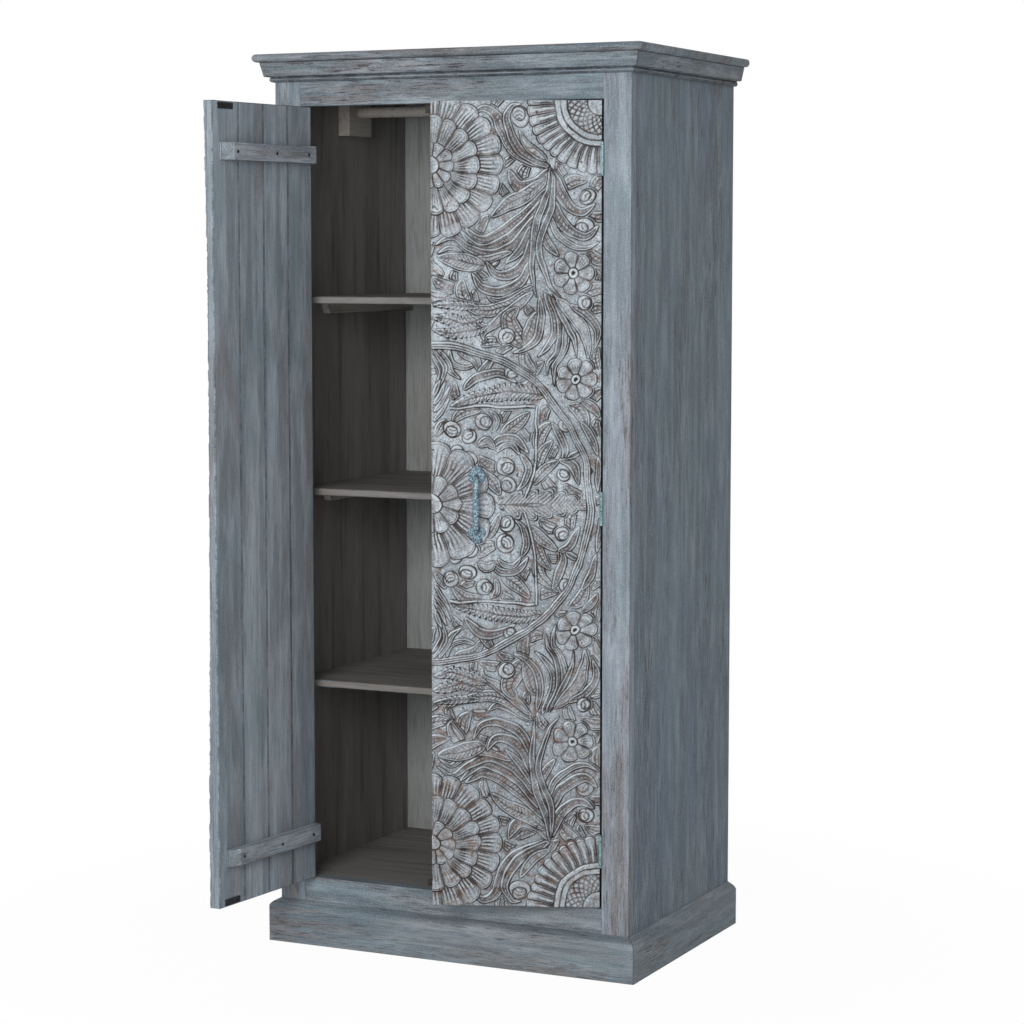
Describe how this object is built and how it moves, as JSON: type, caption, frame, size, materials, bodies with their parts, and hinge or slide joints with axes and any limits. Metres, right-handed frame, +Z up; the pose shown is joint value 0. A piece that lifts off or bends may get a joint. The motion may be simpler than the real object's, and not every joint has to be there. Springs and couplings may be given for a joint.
{
  "type": "wardrobe",
  "caption": "Tall wooden wardrobe with hinged carved doors, moulded cornice and plinth, inside shelves and a hanging rail.",
  "frame": {"origin": "on the floor, at the centre of the carcass footprint", "axes": "+X to the right seen from the front, +Y to the back, +Z up; the doors face -Y"},
  "size_m": [0.89, 0.9107, 1.9],
  "materials": {
    "painted_wood": "hand-rubbed grey-blue paint, worn through to brown wood at edges",
    "carved_wood": "hand-carved, whitewashed grey over rusty brown, dark in the cuts",
    "inside_wood": "dark grey-brown rubbed paint",
    "handle_metal": "blue-grey patina, hammered",
    "hinge_metal": "painted over with the doors, worn",
    "catch_plastic": "matt",
    "strike_steel": "dull"
  },
  "bodies": {
    "carcass": {"back_board_1": "inside_wood", "back_board_2": "inside_wood", "back_board_3": "inside_wood", "back_board_4": "inside_wood", "back_board_5": "inside_wood", "bottom_panel": "inside_wood", "bottom_rail": "painted_wood", "catch_housings": "catch_plastic", "catch_magnets": "strike_steel", "cornice_front": "painted_wood", "cornice_left": "painted_wood", "cornice_right": "painted_wood", "floor_bearer": "inside_wood", "frieze_rail": "painted_wood", "hanging_rail": "inside_wood", "hinge_frame_leaves": "hinge_metal", "hinge_pins": "hinge_metal", "left_side_panel": "painted_wood", "left_stile": "painted_wood", "lower_shelf": "inside_wood", "lower_shelf_cleats": "inside_wood", "middle_shelf": "inside_wood", "middle_shelf_cleats": "inside_wood", "plinth_back_rail": "inside_wood", "plinth_corner_blocks": "inside_wood", "plinth_front": "painted_wood", "plinth_left": "painted_wood", "plinth_right": "painted_wood", "rail_bracket_left": "inside_wood", "rail_bracket_right": "inside_wood", "right_side_panel": "painted_wood", "right_stile": "painted_wood", "top_board": "painted_wood", "upper_shelf": "inside_wood", "upper_shelf_cleats": "inside_wood"},
    "left_door": {"left_door_batten_bottom": "painted_wood", "left_door_batten_top": "painted_wood", "left_door_carved_panel": "carved_wood", "left_door_handle": "handle_metal", "left_door_hinge_leaves": "hinge_metal", "left_door_plank_1": "painted_wood", "left_door_plank_2": "painted_wood", "left_door_plank_3": "painted_wood", "left_door_plank_4": "painted_wood", "left_door_strike_plates": "strike_steel"},
    "right_door": {"right_door_batten_bottom": "painted_wood", "right_door_batten_top": "painted_wood", "right_door_carved_panel": "carved_wood", "right_door_handle": "handle_metal", "right_door_hinge_leaves": "hinge_metal", "right_door_plank_1": "painted_wood", "right_door_plank_2": "painted_wood", "right_door_plank_3": "painted_wood", "right_door_plank_4": "painted_wood", "right_door_strike_plates": "strike_steel"}
  },
  "joints": [
    {"name": "left_door_hinge", "type": "hinge", "parent": "carcass", "child": "left_door", "pos_m": [-0.3475, -0.2836, 0.968], "axis": [0, 0, -1], "range_deg": [-95, 75]},
    {"name": "right_door_hinge", "type": "hinge", "parent": "carcass", "child": "right_door", "pos_m": [0.3475, -0.2836, 0.968], "axis": [0, 0, 1], "range_deg": [-21.5, 148.5]}
  ]
}
